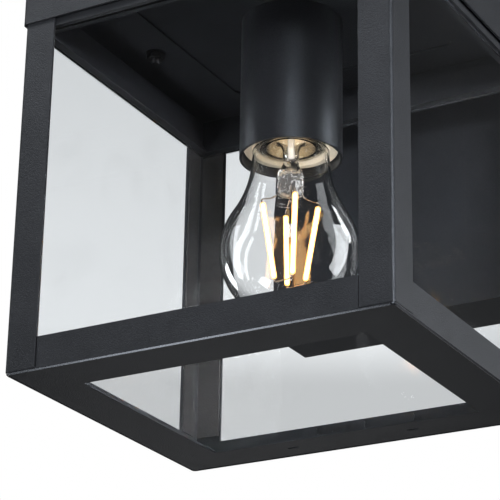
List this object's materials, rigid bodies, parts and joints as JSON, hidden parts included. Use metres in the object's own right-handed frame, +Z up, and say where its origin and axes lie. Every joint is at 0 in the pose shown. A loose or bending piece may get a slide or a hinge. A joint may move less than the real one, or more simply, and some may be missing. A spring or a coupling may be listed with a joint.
{
  "type": "outdoor wall light",
  "caption": "Box lantern for a wall: sheet-metal cage with clear panes and an open bottom, under a folded cap, with a screw-in bulb and a wall box behind.",
  "frame": {"origin": "middle of the wall bracket's rear face, on the wall and at the middle of the wall box", "axes": "+Z up, +Y into the wall, the lantern's front towards -Y, +X to the right seen from the front"},
  "size_m": [0.1754, 0.2057, 0.198],
  "materials": {
    "coated_metal": "fine textured anthracite powder coat",
    "pane_glass": "clear float glass",
    "seal_foam": "closed-cell foam strip",
    "plated_steel": "bright zinc plating",
    "black_fastener": "blackened zinc plating",
    "holder_body": "cream heat-resistant plastic",
    "brass": "plain brass",
    "bulb_glass": "thin blown clear glass",
    "bulb_cap_metal": "rolled bright metal",
    "bulb_insulator": "black glass button",
    "filament": "phosphor-coated filament, lit",
    "grommet_rubber": "moulded rubber",
    "live_sleeve": "brown wire sleeve",
    "neutral_sleeve": "blue wire sleeve",
    "earth_sleeve": "green and yellow wire sleeve"
  },
  "bodies": {
    "lantern": {"bottom_frame": "coated_metal", "front_left_post": "coated_metal", "front_right_post": "coated_metal", "rear_left_post": "coated_metal", "rear_right_post": "coated_metal", "top_frame": "coated_metal", "ceiling_plate": "coated_metal", "pane_clips": "coated_metal", "roof_cap": "coated_metal", "lamp_plate": "coated_metal", "lamp_tube": "coated_metal", "wall_box": "coated_metal", "front_pane": "pane_glass", "rear_pane": "pane_glass", "left_pane": "pane_glass", "right_pane": "pane_glass", "pane_sealing_strips": "seal_foam", "wall_box_seal": "seal_foam", "cap_studs": "black_fastener", "stud_washers": "black_fastener", "stud_nuts": "black_fastener", "bracket_screws": "black_fastener", "stud_spacers": "plated_steel", "nipple": "plated_steel", "nipple_locknut": "plated_steel", "wall_bracket": "plated_steel", "box_screws": "plated_steel", "box_nuts": "plated_steel", "earth_stud": "plated_steel", "earth_nut": "plated_steel", "lampholder_body": "holder_body", "terminal_block": "holder_body", "holder_screw_shell": "brass", "holder_contact": "brass", "terminal_screws": "brass", "earth_lug": "brass", "wire_grommet": "grommet_rubber", "live_wire": "live_sleeve", "neutral_wire": "neutral_sleeve", "earth_wire": "earth_sleeve"},
    "bulb_tip": {"bulb_contact": "bulb_cap_metal"},
    "bulb": {"bulb_glass": "bulb_glass", "bulb_cap": "bulb_cap_metal", "bulb_insulator": "bulb_insulator", "bulb_stem": "bulb_glass", "bulb_filaments": "filament", "bulb_support_wires": "bulb_cap_metal"}
  },
  "joints": [
    {"name": "bulb_travel", "type": "slide", "parent": "lantern", "child": "bulb_tip", "axis": [0, 0, -1], "range_m": [0, 0.0182]},
    {"name": "bulb_unscrew", "type": "hinge", "parent": "bulb_tip", "child": "bulb", "pos_m": [0, -0.12505, -0.0313], "axis": [0, 0, -1], "range_deg": [0, 1800]}
  ],
  "couplings": [
    {"joint": "bulb_travel", "follows": "bulb_unscrew", "m_per_rad": 0.00057614}
  ]
}
